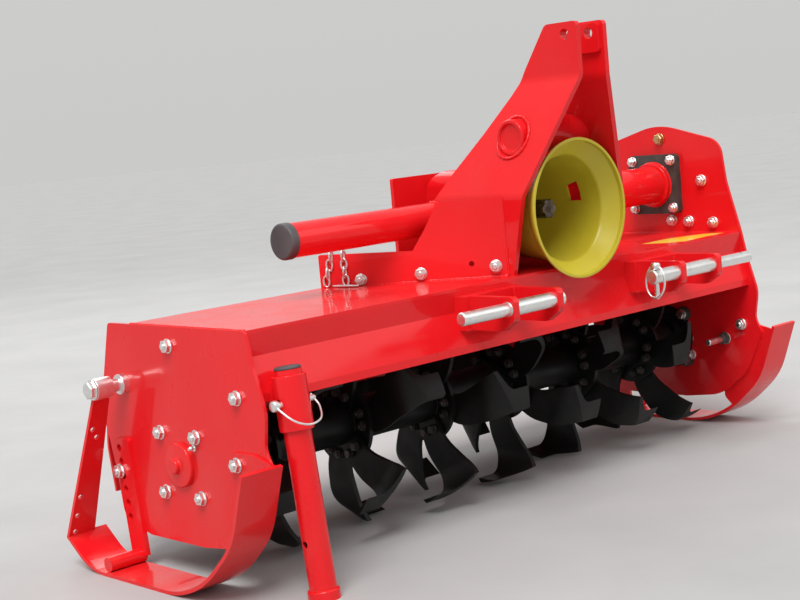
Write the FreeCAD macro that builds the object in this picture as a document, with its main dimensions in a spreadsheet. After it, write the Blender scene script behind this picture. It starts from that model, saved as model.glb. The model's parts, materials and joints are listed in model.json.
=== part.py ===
import FreeCAD, Part
import math
import os

from FreeCAD import Placement, Rotation, Vector

# Rotary tiller for a three-point hitch. Working frame: X across the machine towards the gear case,
# Y from the tractor side to the rear, Z up, with the rotor's axis over Y = 0 and the ground at Z = 0.

os.makedirs("parts", exist_ok=True)
doc = FreeCAD.newDocument("rotary_tiller")

# Driving dimensions

DIMENSIONS = (
    # alias, value in mm or degrees, what it sizes
    ("plate_gap", 1268, "between the inner faces of the side plates"),
    ("plate_thk", 6, "side plate"),
    ("rotor_radius", 180, "tine tips from the rotor axis"),
    ("tip_clear", 6, "tine tips above the ground"),
    ("hood_clear", 38, "tine tips below the deck"),
    ("front_clear", 21, "deck's front edge ahead of the tine tips"),
    ("deck_thk", 5, "deck and tailgate sheet"),
    ("deck_bend", 122, "deck's rear bend behind the rotor axis"),
    ("panel_thk", 8, "upright plates on the deck"),
    ("panel_front", 51, "splayed panel's height where it meets the mast"),
    ("panel_height", 60, "splayed panel's height at its rear end"),
    ("panel_behind", 114, "splayed panel's rear end behind the rotor axis"),
    ("panel_reach", 329, "splayed panel's rear end from the hitch line"),
    ("panel_hole", 5, "hole in the splayed panel"),
    ("brace_height", 183, "gearbox brace over the deck"),
    ("brace_reach", 179, "gearbox brace to each side of the hitch line"),
    ("beam_wall", 5, "front beam wall"),
    ("beam_depth", 75, "front beam, front to back at the top"),
    ("beam_height", 105, "front beam, top to bottom"),
    ("beam_nose", 12, "front beam's lower lip ahead of the deck"),
    ("beam_lip", 13, "height of that lip"),
    ("beam_hollow", 5, "front beam's face behind the deck's edge"),
    ("beam_brow", 36, "height of the face under the deck's edge"),
    ("beam_corner", 30, "cut corner over the tines"),
    ("hitch_offset", 105, "hitch line from the middle of the deck"),
    ("shaft_rise", 104, "gearbox axes above the deck"),
    ("stub_radius", 30, "idle tube on the gearbox"),
    ("stub_wall", 5, "idle tube wall"),
    ("stub_end", 379, "idle tube's end from the middle of the deck"),
    ("cap_length", 16, "plastic end cap"),
    ("drive_radius", 39, "drive tube to the gear case"),
    ("drive_wall", 6, "drive tube wall"),
    ("collar_radius", 46, "collar at the end of the drive tube"),
    ("collar_length", 12, "collar at the end of the drive tube"),
    ("flange_side", 125, "square drive flange"),
    ("flange_thk", 14, "square drive flange"),
    ("gearbox_width", 190, "gearbox casting, along X"),
    ("gearbox_back", 60, "gearbox's rear face behind its cross shaft"),
    ("gearbox_height", 187, "gearbox casting, above the deck"),
    ("gearbox_front", 56, "gearbox's front face ahead of its cross shaft"),
    ("hub_radius", 48, "round boss for the input shaft"),
    ("hub_length", 14, "round boss for the input shaft"),
    ("spline_radius", 17.5, "input shaft over its splines"),
    ("spline_root", 14.8, "input shaft between its splines"),
    ("spline_width", 8.7, "one spline"),
    ("shaft_end", 103, "input shaft's end ahead of the gearbox"),
    ("shaft_fit", 0.05, "running clearance round a shaft"),
    ("shield_mouth", 124, "shield's mouth radius"),
    ("shield_neck", 80, "shield's radius at the gearbox"),
    ("shield_ahead", 33, "shield's mouth ahead of the deck's edge"),
    ("shield_over", 4, "shield over the deck, where it starts to flare"),
    ("shield_wall", 4, "shield wall"),
    ("mast_height", 443, "upper link hole above the lower hitch pins"),
    ("mast_thk", 10, "mast plate"),
    ("mast_crown", 21, "top of the mast above the upper link hole"),
    ("mast_lip", 28, "mast's front edge ahead of the upper link hole"),
    ("mast_gap", 62, "between the mast plates at the top"),
    ("mast_spread", 278, "over the mast plates at the deck"),
    ("mast_head", 73, "mast's upper bend below the upper link hole"),
    ("mast_knee", 139, "mast's lower bend above the deck"),
    ("toplink_ahead", 261, "upper link hole ahead of the rotor axis"),
    ("toplink_radius", 9.75, "upper link hole"),
    ("doubler_thk", 8, "doubler inside the mast's head"),
    ("doubler_drop", 34, "doubler below the upper link hole"),
    ("spacer_radius", 32, "bar between the mast plates"),
    ("spacer_proud", 10, "that bar's end outside a plate, on its axis"),
    ("spacer_ahead", 167, "that bar ahead of the rotor axis"),
    ("pin_drop", 34, "lower hitch pins below the deck's top"),
    ("pin_ahead", 94, "lower hitch pins ahead of the front beam"),
    ("pin_radius", 11, "lower hitch pin outside its bracket"),
    ("pin_body", 13, "lower hitch pin inside its bracket"),
    ("pin_spread", 578, "over the outer ears of the hitch brackets"),
    ("pin_outboard", 108, "lower hitch pin outside its bracket"),
    ("pin_stub", 10, "left hitch pin beyond its inner ear"),
    ("pin_inboard", 72, "right hitch pin beyond its inner ear"),
    ("pin_chamfer", 3, "rounding of a hitch pin's ends"),
    ("pin_hole", 4.5, "linch pin's cross hole"),
    ("ear_thk", 14, "bracket ear"),
    ("ear_gap", 96, "between the ears of a bracket"),
    ("ear_nose", 16, "bracket ear ahead of its pin"),
    ("ear_over", 20, "bracket ear above its pin"),
    ("ear_under", 37, "bracket ear below its pin"),
    ("bracket_thk", 10, "bracket's base plate ahead of the beam's lip"),
    ("bracket_edge", 12, "bracket's base plate beside its ears"),
    ("skid_width", 76, "skid strip outside the side plate"),
    ("skid_thk", 6, "skid strip"),
    ("ear_plate", 5, "skid's front ear against the side plate"),
    ("arm_foot", 51, "skid's rear arm at the sole"),
    ("arm_head", 30, "skid's rear arm at its pin"),
    ("arm_hole", 4.5, "small holes in that arm"),
    ("strap_width", 44, "skid's adjuster strap"),
    ("strap_thk", 8, "skid's adjuster strap"),
    ("strap_hole", 6.5, "holes in the adjuster strap"),
    ("strap_pitch", 23.5, "from one strap hole to the next"),
    ("strap_foot", 12, "round foot of the adjuster strap"),
    ("skid_pin_radius", 11, "pin through the rear of the side plate"),
    ("skid_pin_rise", 123, "that pin above the rotor axis"),
    ("skid_pin_behind", 142, "that pin behind the rotor axis"),
    ("skid_pin_length", 62, "that pin outside the side plate"),
    ("boss_radius", 17, "boss round that pin"),
    ("boss_length", 12, "boss round that pin"),
    ("stand_radius", 21.2, "parking stand's leg"),
    ("stand_wall", 3.2, "parking stand's leg wall"),
    ("sleeve_wall", 5, "stand sleeve wall"),
    ("sleeve_over", 39, "stand sleeve above the beam's lower edge"),
    ("sleeve_under", 45, "stand sleeve below the beam's lower edge"),
    ("sleeve_fit", 0.3, "leg clearance in its sleeve"),
    ("stand_side", 592, "stand from the middle of the deck"),
    ("stand_lean", 5.6, "stand's lean towards the tractor, at its foot"),
    ("stand_travel", 215, "from one hole in the leg to the next"),
    ("stand_hole", 5.5, "holes in the leg and its sleeve"),
    ("stand_pad", 36, "pad between the stand's sleeve and the beam"),
    ("foot_radius", 25, "stand's foot ring"),
    ("foot_height", 14, "stand's foot ring"),
    ("tube_radius", 38, "rotor tube"),
    ("journal_radius", 20, "rotor's shaft ends"),
    ("disc_radius", 76, "tine flange"),
    ("disc_thk", 8, "tine flange"),
    ("disc_pitch", 200, "from one tine flange to the next"),
    ("tine_thk", 8, "tine"),
    ("tine_reach", 88, "tine along the rotor from its flange's middle"),
    ("tine_bend", 42, "inner radius of a tine's bend"),
    ("bearing_radius", 66, "rotor bearing housing"),
    ("bearing_thk", 20, "rotor bearing housing"),
    ("case_depth", 58, "gear case outside the side plate"),
    ("case_upper", 104, "gear case's upper round"),
    ("case_lower", 96, "gear case's lower round"),
    ("case_rim", 14, "gear case's bolted rim"),
    ("rim_thk", 6, "gear case's bolted rim"),
    ("dome_clear", 6, "right side plate round the gear case's rim"),
    ("tail_clear", 8, "tailgate's clearance beside a side plate"),
    ("tail_length", 250, "tailgate from its hinge to its lower edge"),
    ("hinge_behind", 172, "tailgate hinge behind the rotor axis"),
    ("hinge_drop", 47, "tailgate hinge below the deck's top"),
    ("hinge_radius", 6, "tailgate hinge rod"),
    ("knuckle_radius", 11, "tailgate hinge knuckle"),
    ("knuckle_length", 60, "tailgate hinge knuckle"),
    ("knuckle_gap", 3, "between a hinge knuckle and the next sheet"),
)
sheet = doc.addObject("Spreadsheet::Sheet", "Sizes")
for row, (alias, value, meaning) in enumerate(DIMENSIONS, start=1):
    sheet.set(f"A{row}", meaning)
    sheet.set(f"B{row}", str(value))
    sheet.setAlias(f"B{row}", alias)
doc.recompute()


class Sizes:
    """Reads a driving dimension from the sheet by its alias."""

    def __getattr__(self, alias):
        return float(sheet.get(alias))


size = Sizes()

# Places worked out from the driving dimensions

half_gap = size.plate_gap / 2
half_out = half_gap + size.plate_thk
hitch = size.hitch_offset
axis_z = size.rotor_radius + size.tip_clear
deck_under = axis_z + size.rotor_radius + size.hood_clear
deck_top = deck_under + size.deck_thk
deck_front = size.rotor_radius + size.front_clear
shaft_z = deck_top + size.shaft_rise
beam_front = -deck_front - size.beam_nose
beam_low = deck_under - size.beam_height
pin_y = beam_front - size.pin_ahead
pin_z = deck_top - size.pin_drop
toplink_z = pin_z + size.mast_height
mast_top = toplink_z + size.mast_crown
mast_bend_z = toplink_z - size.mast_head
mast_knee_z = deck_top + size.mast_knee
hinge_z = deck_top - size.hinge_drop
skid_pin = (size.skid_pin_behind, axis_z + size.skid_pin_rise)
X_TURN = Rotation(Vector(0, 1, 0), 90)
Y_TURN = Rotation(Vector(1, 0, 0), 90)
NO_TURN = Rotation()
TO_YZ = Rotation(Vector(1, 1, 1), 120)
TO_XZ = Rotation(Vector(1, 0, 0), 90)

nodes = []


# Helpers

def keep(obj, label):
    """Names a finished sub-part and lists it for export."""
    obj.Label = label
    nodes.append(obj)
    return obj


def rounded(points):
    """A closed loop of lines from (u, v) points; a third value rounds that corner by a tangent arc."""
    count = len(points)
    corners = []
    for i, point in enumerate(points):
        here = Vector(point[0], point[1], 0)
        radius = point[2] if len(point) > 2 else 0
        if not radius:
            corners.append((here, here, here))
            continue
        before = (Vector(*points[i - 1][:2], 0) - here).normalize()
        after = (Vector(*points[(i + 1) % count][:2], 0) - here).normalize()
        half_angle = before.getAngle(after) / 2
        reach = radius / math.tan(half_angle)
        middle = (before + after).normalize()
        depth = radius / math.sin(half_angle) - radius
        corners.append((here + before * reach, here + middle * depth, here + after * reach))
    loop = []
    for i, (start, mid, end) in enumerate(corners):
        if (end - start).Length > 1e-6:
            loop.append(Part.Arc(start, mid, end))
        following = corners[(i + 1) % count][0]
        if (following - end).Length > 1e-6:
            loop.append(Part.LineSegment(end, following))
    return loop


def strip(path, thickness, side=1):
    """The closed (u, v, radius) outline of a sheet bent along an open path of (u, v, radius)."""
    inner = []
    spots = [Vector(p[0], p[1], 0) for p in path]
    for i, spot in enumerate(spots):
        ahead = (spots[min(i + 1, len(spots) - 1)] - spots[min(i, len(spots) - 2)]).normalize()
        behind = (spots[max(i, 1)] - spots[max(i - 1, 0)]).normalize()
        normal = Vector(-ahead.y - behind.y, ahead.x + behind.x, 0).normalize()
        stretch = thickness / normal.dot(Vector(-ahead.y, ahead.x, 0))
        shifted = spot + normal * (stretch * side)
        turn = behind.cross(ahead).z * side
        radius = path[i][2] if len(path[i]) > 2 else 0
        inner.append((shifted.x, shifted.y, max(radius - math.copysign(thickness, turn), 0.5) if radius else 0))
    return list(path) + inner[::-1]


def circle(u, v, radius):
    """A loop of one circle."""
    return [Part.Circle(Vector(u, v, 0), Vector(0, 0, 1), radius)]


def padded(name, plane, loops, length, base):
    """A body padded from closed loops in an origin plane: YZ grows to +X, XZ to -Y and XY to +Z."""
    body = doc.addObject("PartDesign::Body", name)
    sketch = body.newObject("Sketcher::SketchObject", name + "_outline")
    support = [f for f in body.Origin.OriginFeatures if f.Role == plane + "_Plane"][0]
    sketch.AttachmentSupport = (support, [""])
    sketch.MapMode = "FlatFace"
    for loop in loops:
        sketch.addGeometry(loop, False)
    pad = body.newObject("PartDesign::Pad", name + "_pad")
    pad.Profile = sketch
    pad.setExpression("Length", length)
    body.Placement = Placement(Vector(*base), NO_TURN)
    return body


def turned(name, profile, place):
    """A body turned about its Z axis from a closed loop of (radius, height) points."""
    body = doc.addObject("PartDesign::Body", name)
    sketch = body.newObject("Sketcher::SketchObject", name + "_profile")
    support = [f for f in body.Origin.OriginFeatures if f.Role == "XZ_Plane"][0]
    sketch.AttachmentSupport = (support, [""])
    sketch.MapMode = "FlatFace"
    sketch.addGeometry(rounded(profile), False)
    revolution = body.newObject("PartDesign::Revolution", name + "_turn")
    revolution.Profile = sketch
    revolution.ReferenceAxis = (sketch, ["V_Axis"])
    revolution.Angle = 360
    body.Placement = place
    return body


def rod(name, radius, length, base, turn=NO_TURN):
    """A cylinder whose radius and length are expressions on the sheet."""
    part = doc.addObject("Part::Cylinder", name)
    part.setExpression("Radius", radius)
    part.setExpression("Height", length)
    part.Placement = Placement(Vector(*base), turn)
    return part


def block(name, lengths, base):
    """A box whose three lengths are expressions on the sheet."""
    part = doc.addObject("Part::Box", name)
    for side, length in zip(("Length", "Width", "Height"), lengths):
        part.setExpression(side, length)
    part.Placement = Placement(Vector(*base), NO_TURN)
    return part


def joined(name, shapes):
    """One object fused from several."""
    part = doc.addObject("Part::MultiFuse", name)
    part.Shapes = shapes
    part.Refine = True
    return part


def less(name, base, tools):
    """An object with others cut out of it."""
    tool = tools[0] if len(tools) == 1 else joined(name + "_tools", tools)
    part = doc.addObject("Part::Cut", name)
    part.Base = base
    part.Tool = tool
    part.Refine = True
    return part


def shared(name, first, second):
    """What two objects have in common."""
    part = doc.addObject("Part::Common", name)
    part.Base = first
    part.Tool = second
    part.Refine = True
    return part


def built(name, shape, place=Placement()):
    """A feature whose shape is set here, for forms that repeat."""
    part = doc.addObject("Part::Feature", name)
    part.Shape = shape
    part.Placement = place
    return part


# Deck, front beam and the plates on the deck

MAST_TOE = 14
DECK_KNUCKLES = (-540, -240, 240, 540)
TAIL_KNUCKLES = (-470, -170, 170, 470)


def on_hinge(name, middle, length, radius):
    """A cylinder on the tailgate's hinge axis, centred on an x; its length and radius are expressions."""
    piece = rod(name, radius, length, (0, size.hinge_behind, hinge_z), X_TURN)
    piece.Placement.Base.x = middle - piece_length(piece) / 2
    return piece


def piece_length(piece):
    """A rod's length once its expression is worked out."""
    piece.recompute()
    return piece.Height.Value


def knuckles(word, places):
    """The rings of one leaf of the hinge."""
    return [on_hinge(f"{word}_knuckle_{i}", x, "Sizes.knuckle_length", "Sizes.knuckle_radius")
            for i, x in enumerate(places)]


def knuckle_gaps(word, places):
    """The room that one leaf leaves for the other's rings."""
    return [on_hinge(f"{word}_gap_{i}", x, "Sizes.knuckle_length + 2 * Sizes.knuckle_gap",
                     "Sizes.knuckle_radius + Sizes.knuckle_gap") for i, x in enumerate(places)]


def make_deck():
    path = [
        (-deck_front, deck_top),
        (size.deck_bend, deck_top, 20),
        (size.hinge_behind - 2, hinge_z + size.knuckle_radius - 1),
    ]
    outline = rounded(strip(path, size.deck_thk, side=-1))
    bent = padded("deck_sheet", "YZ", [outline], "Sizes.plate_gap", (-half_gap, 0, 0))
    notched = less("deck_notched", bent, knuckle_gaps("deck", TAIL_KNUCKLES))
    whole = joined("deck_whole", [notched] + knuckles("deck", DECK_KNUCKLES))
    bore = on_hinge("deck_bore", 0, "Sizes.plate_gap", "Sizes.hinge_radius")
    keep(less("deck_cut", whole, [bore]), "deck")


def beam_face(inset=0):
    """The front beam's face from the top down, as (y, z): a brow set back under the deck's edge,
    a long face that leans out and a short upright lip."""
    return [
        (-deck_front + inset, deck_under - inset),
        (-deck_front + size.beam_hollow + inset, deck_under - size.beam_brow),
        (beam_front + inset, beam_low + size.beam_lip),
        (beam_front + inset, beam_low + inset),
    ]


def on_beam(z):
    """Where the front beam's face is at a height."""
    face = beam_face()
    for (y_over, over), (y_under, under) in zip(face, face[1:]):
        if under <= z <= over:
            return y_over + (y_under - y_over) * (over - z) / (over - under)
    return beam_front


def make_beam():
    back = -deck_front + size.beam_depth
    loops = []
    for inset in (0, size.beam_wall):
        corner = size.beam_corner + inset / 2
        loops.append(rounded(beam_face(inset) + [
            (back - corner, beam_low + inset),
            (back - inset, beam_low + corner),
            (back - inset, deck_under - inset),
        ]))
    keep(padded("beam_section", "YZ", loops, "Sizes.plate_gap", (-half_gap, 0, 0)), "front_beam")


def make_panels():
    """A low panel on each side, from the mast's foot outwards to the deck's rear bend."""
    face = size.mast_spread / 2
    start = Vector(-face, -deck_front + MAST_TOE + 10, 0)
    end = Vector(-size.panel_reach, size.panel_behind, 0)
    length = (end - start).Length
    splay = math.degrees(math.atan2(start.x - end.x, end.y - start.y))
    front = deck_top + size.panel_front
    outline = rounded([(0, deck_top), (length, deck_top), (length, deck_top + size.panel_height, 4), (0, front)])
    hole = circle(length * 0.19, deck_top + size.panel_front / 2, size.panel_hole)
    panels = []
    for word, sign in (("left", 1), ("right", -1)):
        panel = padded(f"panel_{word}", "XZ", [outline, hole], "Sizes.panel_thk", (0, 0, 0))
        inward = 0 if sign > 0 else size.panel_thk
        turn = Rotation(Vector(0, 0, 1), 90 + sign * splay)
        panel.Placement = Placement(Vector(hitch + sign * start.x, start.y, 0), turn) * Placement(
            Vector(0, inward, 0), NO_TURN)
        panels.append(panel)
    room = block("panel_room", ("Sizes.mast_spread", "2 * Sizes.panel_reach", "2 * Sizes.panel_height"),
                 (hitch - face, -size.panel_reach, deck_top - 1))
    keep(less("panel_pair", joined("panel_both", panels), [room]), "rear_panel")


def make_brace():
    """The plate across the deck behind the gearbox, with its upper corners cut."""
    reach = size.brace_reach
    top = deck_top + size.brace_height
    outline = rounded([
        (-reach, deck_top), (reach, deck_top), (reach, top - 40, 8), (reach - 40, top, 8),
        (-reach + 40, top, 8), (-reach, top - 40, 8),
    ])
    back = size.gearbox_back + size.panel_thk
    keep(padded("brace_outline", "XZ", [outline], "Sizes.panel_thk", (hitch, back, 0)), "gearbox_brace")


# Side plates

def over_axis(share):
    """A height between the rotor's axis (0) and the deck's top (1)."""
    return axis_z + share * (deck_top - axis_z)


def under_axis(share):
    """A height between the ground (0) and the rotor's axis (1)."""
    return share * axis_z


def lower_edge():
    """The side plates' shared outline as (y, z, corner radius): from under the deck's front corner
    down to the toe, along the bottom and up the rear edge."""
    front = -deck_front
    rear = size.hinge_behind
    return [
        (front - 12, over_axis(0.76), 60),
        (front - 32, over_axis(0.45), 60),
        (front - 22, over_axis(0.20), 30),
        (front - 36, over_axis(0.07), 4),
        (front + 5, under_axis(0.63), 90),
        (front + 73, under_axis(0.35), 90),
        (front + 160, under_axis(0.30), 60),
        (rear - 62, under_axis(0.30), 40),
        (rear + 14, under_axis(0.40), 30),
        (rear + 24, under_axis(0.86), 60),
        (rear + 48, over_axis(0.34), 40),
        (rear + 32, over_axis(0.58), 30),
    ]


def dome():
    """The right plate above the deck, from rear to front: it carries the gear case over the drive
    and drops to the deck in a long front shoulder."""
    reach = size.case_upper + size.case_rim + size.dome_clear
    return [
        (size.hinge_behind - 7, deck_top, 40),
        (reach + 24, shaft_z + 0.4 * reach, 60),
        (reach - 4, shaft_z + 0.74 * reach, 50),
        (-10, shaft_z + reach + 3, 160),
        (-reach - 40, shaft_z + 0.68 * reach, 40),
        (-reach - 50, shaft_z, 60),
        (-deck_front - 1, deck_top, 40),
    ]


def make_side_plates():
    journal_hole = circle(0, axis_z, size.journal_radius + 6)
    drive_hole = circle(0, shaft_z, size.journal_radius + 6)
    pin_hole = circle(*skid_pin, size.skid_pin_radius)
    left = rounded([(size.hinge_behind + 1, deck_top, 8), (-deck_front, deck_top, 6)] + lower_edge())
    keep(padded("left_outline", "YZ", [left, journal_hole, pin_hole], "Sizes.plate_thk", (-half_out, 0, 0)),
         "side_plate_left")
    right = rounded(dome() + lower_edge())
    keep(padded("right_outline", "YZ", [right, journal_hole, drive_hole, pin_hole], "Sizes.plate_thk",
                (half_gap, 0, 0)), "side_plate_right")


# Gear case, drive tube and gearbox

def belt(lower_radius, upper_radius):
    """The outline round two circles on the rotor axis and the gearbox axis, with its tangent lines."""
    low = Vector(0, axis_z, 0)
    high = Vector(0, shaft_z, 0)
    lean = math.asin((upper_radius - lower_radius) / (shaft_z - axis_z))
    side = Vector(math.cos(lean), -math.sin(lean), 0)
    other = Vector(-side.x, side.y, 0)
    up = Vector(0, 1, 0)
    return [
        Part.LineSegment(low + side * lower_radius, high + side * upper_radius),
        Part.Arc(high + side * upper_radius, high + up * upper_radius, high + other * upper_radius),
        Part.LineSegment(high + other * upper_radius, low + other * lower_radius),
        Part.Arc(low + other * lower_radius, low - up * lower_radius, low + side * lower_radius),
    ]


def make_gear_case():
    wide = [belt(size.case_lower + size.case_rim, size.case_upper + size.case_rim)]
    rim = padded("case_rim", "YZ", wide, "Sizes.rim_thk", (half_out, 0, 0))
    shell = padded("case_shell", "YZ", [belt(size.case_lower, size.case_upper)], "Sizes.case_depth",
                   (half_out, 0, 0))
    room = rod("case_room", "Sizes.journal_radius + 6", "Sizes.case_depth / 2 + 10", (half_out, 0, axis_z), X_TURN)
    keep(less("case_cut", joined("case_joined", [rim, shell]), [room]), "gear_case")


def make_drive():
    """The drive flange on the right side plate, and the tube that comes to it from the gearbox."""
    flange_x = half_gap - size.flange_thk
    half = size.flange_side / 2
    inner = size.drive_radius - size.drive_wall
    square = rounded([(-half, -half, 10), (half, -half, 10), (half, half, 10), (-half, half, 10)])
    keep(padded("flange_square", "YZ", [square, circle(0, 0, inner)], "Sizes.flange_thk", (flange_x, 0, shaft_z)),
         "drive_flange")
    start = hitch + size.gearbox_width / 2
    length = flange_x - start
    outline = [
        (inner, 0),
        (size.drive_radius, 0),
        (size.drive_radius, length - size.collar_length),
        (size.collar_radius, length - size.collar_length, 2),
        (size.collar_radius, length),
        (inner, length),
    ]
    keep(turned("drive_turned", outline, Placement(Vector(start, 0, shaft_z), X_TURN)), "drive_tube")


SHAFT_SEAT = 50


def make_gearbox():
    """A cast box with a round boss and a bore for the input shaft."""
    front = -size.gearbox_front
    back = size.gearbox_back
    top = deck_top + size.gearbox_height
    half = size.gearbox_width / 2
    side_view = rounded([(front, deck_top), (back, deck_top), (back, top, 40), (front, top, 24)])
    front_view = rounded([(-half, deck_top), (half, deck_top), (half, top, 30), (-half, top, 30)])
    side = padded("gearbox_side", "YZ", [side_view], "Sizes.gearbox_width", (hitch - half, 0, 0))
    face = padded("gearbox_face", "XZ", [front_view], "Sizes.gearbox_front + Sizes.gearbox_back", (hitch, back, 0))
    boss = rod("gearbox_boss", "Sizes.hub_radius", "Sizes.hub_length + 10", (hitch, front + 10, shaft_z), Y_TURN)
    whole = joined("gearbox_whole", [shared("gearbox_box", side, face), boss])
    bore = rod("gearbox_bore", "Sizes.spline_radius + Sizes.shaft_fit", "Sizes.hub_length + 60",
               (hitch, front + SHAFT_SEAT + 10, shaft_z), Y_TURN)
    keep(less("gearbox_cut", whole, [bore]), "gearbox")


def make_stub():
    start = hitch - size.gearbox_width / 2
    length = start + size.stub_end
    inner = size.stub_radius - size.stub_wall
    over = size.stub_radius + 1.5
    place = Placement(Vector(-size.stub_end, 0, shaft_z), X_TURN)
    tube = [(inner, 0), (size.stub_radius, 0), (size.stub_radius, length), (inner, length)]
    keep(turned("stub_turned", tube, place), "stub_tube")
    cap = [(0, -size.cap_length, 0), (over, -size.cap_length, 5), (over, 0), (inner, 0), (inner, 12), (0, 12)]
    keep(turned("cap_turned", cap, place), "stub_cap")


def make_input_shaft():
    """A six-spline shaft in the gearbox's bore."""
    length = size.shaft_end + SHAFT_SEAT
    splined = size.shaft_end - size.hub_length
    start = length - splined
    core = Part.makeCylinder(size.spline_root, length)
    bars = []
    for i in range(3):
        bar = Part.makeBox(size.spline_radius * 2, size.spline_width, splined,
                           Vector(-size.spline_radius, -size.spline_width / 2, start))
        bar.rotate(Vector(), Vector(0, 0, 1), 60 * i)
        bars.append(bar)
    envelope = Part.makeCylinder(size.spline_radius, splined, Vector(0, 0, start))
    journal = Part.makeCylinder(size.spline_radius, start)
    whole = core.fuse([core.fuse(bars).common(envelope), journal]).removeSplitter()
    base = Vector(hitch, -size.gearbox_front + SHAFT_SEAT, shaft_z)
    keep(built("shaft_splined", whole, Placement(base, Y_TURN)), "input_shaft")


def make_shield():
    """The cone round the input shaft: a back ring that sits on the gearbox, a throat that clears the
    deck, a mouth that flares in front of it, and a slot to reach the shaft's coupling."""
    wall = size.shield_wall
    mouth = size.shield_mouth
    neck = size.shield_neck
    depth = deck_front + size.shield_ahead - size.gearbox_front
    collar = 34
    throat = size.shaft_rise - size.shield_over
    edge = deck_front - size.gearbox_front - 2
    outline = [
        (size.hub_radius + 0.5, 0),
        (neck, 0, 6),
        (neck + 6, collar, 20),
        (throat, edge, 12),
        (mouth, depth - 6, 2),
        (mouth + 2, depth, 1),
        (mouth - wall, depth, 1),
        (mouth - wall, depth - 8, 2),
        (throat - wall, edge + wall / 2, 10),
        (neck + 6 - wall, collar + wall / 2, 16),
        (neck - wall, wall, 2),
        (size.hub_radius + 0.5, wall),
    ]
    front = -size.gearbox_front
    cone = turned("shield_turned", outline, Placement(Vector(hitch, front, shaft_z), Y_TURN))
    slot = block("shield_slot", ("60", "26", "40"), (hitch + neck, front - depth * 0.58, shaft_z + 6))
    keep(less("shield_cut", cone, [slot]), "pto_shield")


# Mast

def mast_path():
    """Front view of the left mast plate's outer face, from the head to the deck."""
    top = -size.mast_gap / 2 - size.mast_thk
    foot = -size.mast_spread / 2
    return [(top, mast_top), (top, mast_bend_z, 30), (foot, mast_knee_z, 30), (foot, deck_top)]


def mast_flare(share):
    """A height between the mast's lower bend (0) and its upper bend (1)."""
    return mast_knee_z + share * (mast_bend_z - mast_knee_z)


def mast_side():
    """Side view of a mast plate: a head that reaches out to the link hole, and a rear edge that
    sweeps back to the gearbox brace."""
    head = -size.toplink_ahead
    return [
        (head + 43, mast_top, 14),
        (head - size.mast_lip, mast_top, 8),
        (head - size.mast_lip, mast_bend_z, 60),
        (-deck_front - 21, mast_knee_z, 60),
        (-deck_front + MAST_TOE, deck_top),
        (size.gearbox_back, deck_top),
        (size.gearbox_back, deck_top + 41, 20),
        (-5, mast_flare(0), 30),
        (-38, mast_flare(0.23), 60),
        (-91, mast_flare(0.56), 90),
        (-136, mast_flare(0.87), 60),
        (-164, mast_flare(1.1), 60),
    ]


def across(name, y, z, radius, length="Sizes.mast_spread"):
    """A round tool along X, centred on the hitch line."""
    tool = rod(name, radius, length, (0, y, z), X_TURN)
    tool.Placement.Base.x = hitch - piece_length(tool) / 2
    return tool


def make_mast():
    side = rounded(mast_side())
    sweep = "Sizes.toplink_ahead + Sizes.mast_lip + Sizes.gearbox_back"
    spacer_z = spacer_place()
    for word, sign, tube in (("left", 1, "Sizes.stub_radius"), ("right", -1, "Sizes.drive_radius")):
        path = [(sign * point[0],) + tuple(point[1:]) for point in mast_path()]
        front_view = rounded(strip(path, size.mast_thk, side=sign))
        bent = padded(f"mast_bent_{word}", "XZ", [front_view], sweep, (hitch, size.gearbox_back, 0))
        slab = padded(f"mast_side_{word}", "YZ", [side], "Sizes.mast_spread", (hitch - size.mast_spread / 2, 0, 0))
        plate = shared(f"mast_plate_{word}", bent, slab)
        tools = [
            across(f"mast_hole_{word}", -size.toplink_ahead, toplink_z, "Sizes.toplink_radius"),
            across(f"mast_spacer_hole_{word}", -size.spacer_ahead, spacer_z, "Sizes.spacer_radius"),
            across(f"mast_tube_hole_{word}", 0, shaft_z, tube),
        ]
        keep(less(f"mast_cut_{word}", plate, tools), f"mast_{word}")
    make_doublers()
    make_spacer(spacer_z)


def make_doublers():
    """A pad inside each mast plate, which the upper link's pin passes through."""
    front = -size.toplink_ahead - size.mast_lip + 6
    top = mast_top - 5
    low = toplink_z - size.doubler_drop
    rear = -size.toplink_ahead + 37
    head = rounded([(rear, top, 10), (front, top, 6), (front, low, 6), (rear + 10, low, 6)])
    hole = circle(-size.toplink_ahead, toplink_z, size.toplink_radius)
    gap = size.mast_gap / 2
    for word, start in (("left", hitch - gap), ("right", hitch + gap - size.doubler_thk)):
        keep(padded(f"doubler_{word}", "YZ", [head, hole], "Sizes.doubler_thk", (start, 0, 0)), f"mast_doubler_{word}")


def spacer_place():
    """The spacer's height: halfway up the mast's flare."""
    return mast_flare(0.51)


def make_spacer(spacer_z):
    """A round bar through both plates, dished at its ends."""
    foot = size.mast_spread / 2
    top = size.mast_gap / 2 + size.mast_thk
    share = (mast_bend_z - spacer_z) / (mast_bend_z - mast_knee_z)
    reach = top + (foot - top) * share + size.spacer_proud
    radius = size.spacer_radius
    end = [(0, 5), (radius - 9, 5, 3), (radius - 7, 0, 2), (radius, 0, 3)]
    near = [(p[0], p[1] - reach) + tuple(p[2:]) for p in end]
    far = [(p[0], reach - p[1]) + tuple(p[2:]) for p in end[::-1]]
    place = Placement(Vector(hitch, -size.spacer_ahead, spacer_z), X_TURN)
    keep(turned("spacer_turned", near + far, place), "mast_spacer")


# Hitch brackets and pins

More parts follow.
